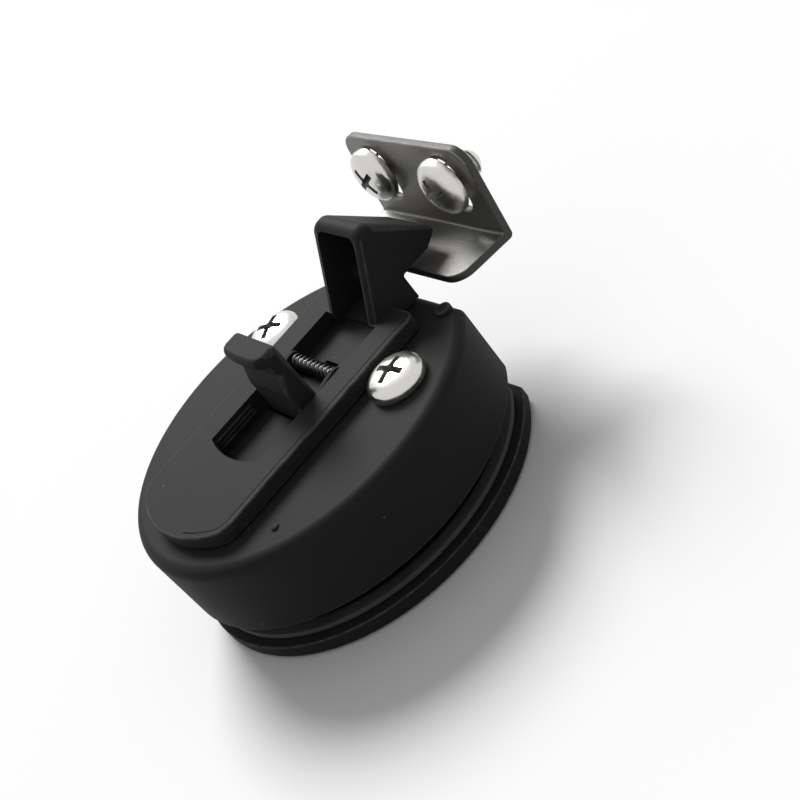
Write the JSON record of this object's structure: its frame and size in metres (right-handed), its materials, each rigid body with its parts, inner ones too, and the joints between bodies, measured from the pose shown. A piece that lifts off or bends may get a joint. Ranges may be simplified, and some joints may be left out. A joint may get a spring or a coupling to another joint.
{
  "type": "flush slam latch",
  "caption": "Flush slam latch for a thin door: oval rear housing, sliding hooked bolt with thumb lever, front bezel with pull paddle, and an angle strike for the hook.",
  "frame": {"origin": "centre of the whole part's footprint, in the plane of the bezel's front face that the part lies on", "axes": "+Z from the bezel's front face towards the inside of the door and the bolt, +Y the way the bolt points, towards the strike, +X across"},
  "size_m": [0.0496, 0.0646, 0.0334],
  "materials": {
    "black_nylon": "moulded, satin",
    "black_acetal": "moulded, satin",
    "seal_rubber": "matt",
    "nickel_plate": "bright plated",
    "stainless_sheet": "fine brushed",
    "spring_steel": "drawn wire, oiled",
    "brass": "turned"
  },
  "bodies": {
    "housing": {"rear_housing": "black_nylon", "front_bezel": "black_nylon", "bezel_gasket": "seal_rubber", "body_screw_left": "nickel_plate", "body_screw_right": "nickel_plate", "insert_left": "brass", "insert_right": "brass", "bolt_spring": "spring_steel", "paddle_pin": "spring_steel", "paddle_spring": "spring_steel", "strike_plate": "stainless_sheet", "strike_screw_left": "nickel_plate", "strike_screw_right": "nickel_plate"},
    "bolt": {"slide_bolt": "black_nylon", "bolt_keeper": "black_acetal", "keeper_screw_left": "spring_steel", "keeper_screw_right": "spring_steel", "lever_pin": "spring_steel", "lever_spring": "spring_steel"},
    "lever": {"thumb_lever": "black_nylon"},
    "paddle": {"pull_paddle": "black_nylon"}
  },
  "joints": [
    {"name": "bolt_slide", "type": "slide", "parent": "housing", "child": "bolt", "axis": [0, -1, 0], "range_m": [0, 0.006], "stiffness_N_per_m": 600, "springref_m": -0.004, "deforming": ["bolt_spring"]},
    {"name": "lever_hinge", "type": "hinge", "parent": "bolt", "child": "lever", "pos_m": [0, 0.0001, 0.02], "axis": [1, 0, 0], "range_deg": [0, 40]},
    {"name": "paddle_hinge", "type": "hinge", "parent": "housing", "child": "paddle", "pos_m": [0, 0.0055, 0.0039], "axis": [1, 0, 0], "range_deg": [0, 36]}
  ],
  "couplings": [
    {"joint": "lever_hinge", "follows": "bolt_slide", "rad_per_m": 115.4},
    {"joint": "paddle_hinge", "follows": "bolt_slide", "rad_per_m": 103}
  ]
}
